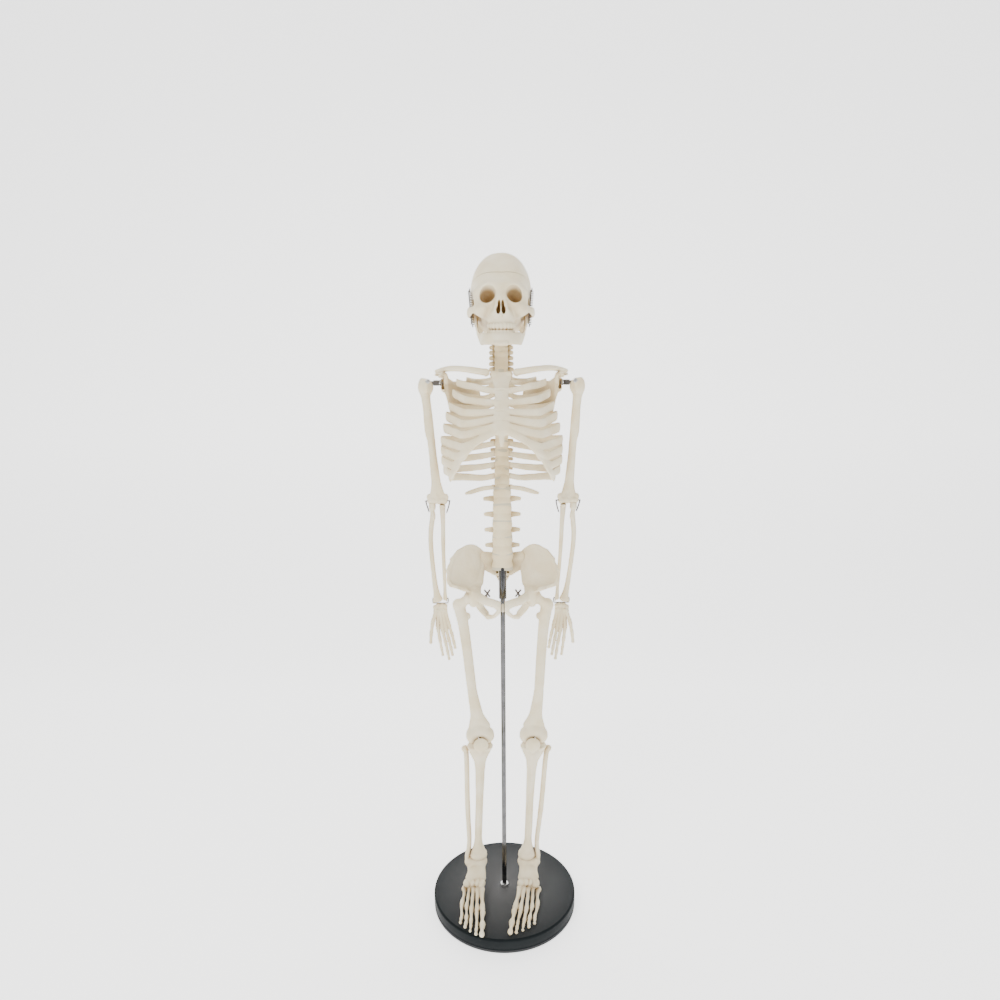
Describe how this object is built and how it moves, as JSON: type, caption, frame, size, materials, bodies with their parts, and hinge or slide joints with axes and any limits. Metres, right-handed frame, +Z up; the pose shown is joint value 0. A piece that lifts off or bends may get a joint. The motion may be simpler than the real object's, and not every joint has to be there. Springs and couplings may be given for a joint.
{
  "type": "human skeleton model",
  "caption": "Half-size human skeleton model with movable limbs, sprung jaw and lift-off skull cap, hung on a chrome rod from a round black foot.",
  "frame": {"origin": "centre of the round foot's underside", "axes": "+Z up along the rod, -Y the way the face looks, +X the skeleton's own left"},
  "size_m": [0.2046, 0.2046, 0.85],
  "materials": {
    "bone": "moulded ivory plastic bone, ochre in the recesses",
    "spine": "slightly yellower moulded plastic bone",
    "disc": "soft grey-cream plastic cartilage",
    "chrome": "polished chrome rod and sleeve",
    "steel": "plain bright steel pins, wires and screws",
    "dark": "darkened steel springs, links and split pins",
    "black": "fine-textured charcoal moulding"
  },
  "bodies": {
    "stand": {"base_disc": "black", "base_nut": "steel", "lock_nut": "steel", "stand_rod": "chrome"},
    "sleeve": {"rod_sleeve": "chrome"},
    "torso": {"sacrum": "spine", "lumbar_spine": "spine", "thoracic_spine": "spine", "cervical_spine": "spine", "pubic_disc": "disc", "rib_cage": "bone", "hip_bone_left": "bone", "hip_bone_right": "bone", "floating_rib_left": "bone", "floating_rib_right": "bone", "clavicle_left": "bone", "clavicle_right": "bone", "scapula_left": "bone", "scapula_right": "bone", "shoulder_pin_left": "steel", "shoulder_pin_right": "steel", "hip_bolt_left": "steel", "hip_bolt_right": "steel", "hip_cotter_left": "dark", "hip_cotter_right": "dark"},
    "head": {"cranium": "bone", "jaw_spring_left": "dark", "jaw_spring_right": "dark"},
    "jaw": {"mandible": "bone"},
    "cap": {"calvaria": "bone"},
    "shoulder_left": {"shoulder_link_left": "dark"},
    "upper_arm_left": {"humerus_left": "bone", "humerus_screw_left": "steel"},
    "forearm_left": {"ulna_left": "bone", "radius_left": "bone", "elbow_wire_left": "steel", "wrist_wire_left": "steel"},
    "palm_left": {"hand_left": "bone"},
    "thigh_left": {"femur_left": "bone", "patella_left": "bone", "knee_pin_left": "steel"},
    "shin_left": {"tibia_left": "bone", "fibula_left": "bone", "ankle_pin_left": "steel"},
    "sole_left": {"foot_left": "bone"},
    "shoulder_right": {"shoulder_link_right": "dark"},
    "upper_arm_right": {"humerus_right": "bone", "humerus_screw_right": "steel"},
    "forearm_right": {"ulna_right": "bone", "radius_right": "bone", "elbow_wire_right": "steel", "wrist_wire_right": "steel"},
    "palm_right": {"hand_right": "bone"},
    "thigh_right": {"femur_right": "bone", "patella_right": "bone", "knee_pin_right": "steel"},
    "shin_right": {"tibia_right": "bone", "fibula_right": "bone", "ankle_pin_right": "steel"},
    "sole_right": {"foot_right": "bone"}
  },
  "joints": [
    {"name": "lift_off_rod", "type": "slide", "parent": "stand", "child": "sleeve", "axis": [0, 0, 1], "range_m": [0, 0.06]},
    {"name": "swivel", "type": "hinge", "parent": "sleeve", "child": "torso", "pos_m": [0, 0, 0.487], "axis": [0, 0, 1], "continuous": true},
    {"name": "head_turn", "type": "hinge", "parent": "torso", "child": "head", "pos_m": [0, 0.011, 0.765], "axis": [0, 0, 1], "range_deg": [-40, 40]},
    {"name": "jaw_open", "type": "hinge", "parent": "head", "child": "jaw", "pos_m": [0, -0.003, 0.781], "axis": [1, 0, 0], "range_deg": [0, 18], "stiffness_Nm_per_rad": 0.01, "springref_deg": -22.92, "deforming": ["jaw_spring_left", "jaw_spring_right"]},
    {"name": "cap_lift", "type": "slide", "parent": "head", "child": "cap", "axis": [0, 0, 1], "range_m": [0, 0.05]},
    {"name": "arm_raise_left", "type": "hinge", "parent": "torso", "child": "shoulder_left", "pos_m": [0.0745, 0.012, 0.711], "axis": [0, -1, 0], "range_deg": [0, 18]},
    {"name": "arm_swing_left", "type": "hinge", "parent": "shoulder_left", "child": "upper_arm_left", "pos_m": [0.084, 0.012, 0.711], "axis": [-1, 0, 0], "range_deg": [-25, 80]},
    {"name": "elbow_left", "type": "hinge", "parent": "upper_arm_left", "child": "forearm_left", "pos_m": [0.085, 0.018, 0.571], "axis": [-1, 0, 0], "range_deg": [0, 90]},
    {"name": "wrist_left", "type": "hinge", "parent": "forearm_left", "child": "palm_left", "pos_m": [0.079, 0.022, 0.437], "axis": [-1, 0, 0], "range_deg": [-40, 40]},
    {"name": "hip_left", "type": "hinge", "parent": "torso", "child": "thigh_left", "pos_m": [0.0386, -0.008, 0.45], "axis": [-1, 0, 0], "range_deg": [0, 70]},
    {"name": "knee_left", "type": "hinge", "parent": "thigh_left", "child": "shin_left", "pos_m": [0.041, -0.009, 0.257], "axis": [1, 0, 0], "range_deg": [0, 55]},
    {"name": "ankle_left", "type": "hinge", "parent": "shin_left", "child": "sole_left", "pos_m": [0.03575, 0, 0.06], "axis": [-1, 0, 0], "range_deg": [0, 37]},
    {"name": "arm_raise_right", "type": "hinge", "parent": "torso", "child": "shoulder_right", "pos_m": [-0.0745, 0.012, 0.711], "axis": [0, 1, 0], "range_deg": [0, 18]},
    {"name": "arm_swing_right", "type": "hinge", "parent": "shoulder_right", "child": "upper_arm_right", "pos_m": [-0.084, 0.012, 0.711], "axis": [-1, 0, 0], "range_deg": [-25, 80]},
    {"name": "elbow_right", "type": "hinge", "parent": "upper_arm_right", "child": "forearm_right", "pos_m": [-0.083, 0.018, 0.571], "axis": [-1, 0, 0], "range_deg": [0, 90]},
    {"name": "wrist_right", "type": "hinge", "parent": "forearm_right", "child": "palm_right", "pos_m": [-0.084, 0.022, 0.437], "axis": [-1, 0, 0], "range_deg": [-40, 40]},
    {"name": "hip_right", "type": "hinge", "parent": "torso", "child": "thigh_right", "pos_m": [-0.0386, -0.008, 0.45], "axis": [-1, 0, 0], "range_deg": [0, 70]},
    {"name": "knee_right", "type": "hinge", "parent": "thigh_right", "child": "shin_right", "pos_m": [-0.0318, -0.009, 0.257], "axis": [1, 0, 0], "range_deg": [0, 55]},
    {"name": "ankle_right", "type": "hinge", "parent": "shin_right", "child": "sole_right", "pos_m": [-0.04145, 0, 0.06], "axis": [-1, 0, 0], "range_deg": [0, 37]}
  ],
  "couplings": [
    {"joint": "ankle_left", "follows": "knee_left", "ratio": 0.65},
    {"joint": "ankle_right", "follows": "knee_right", "ratio": 0.65}
  ]
}
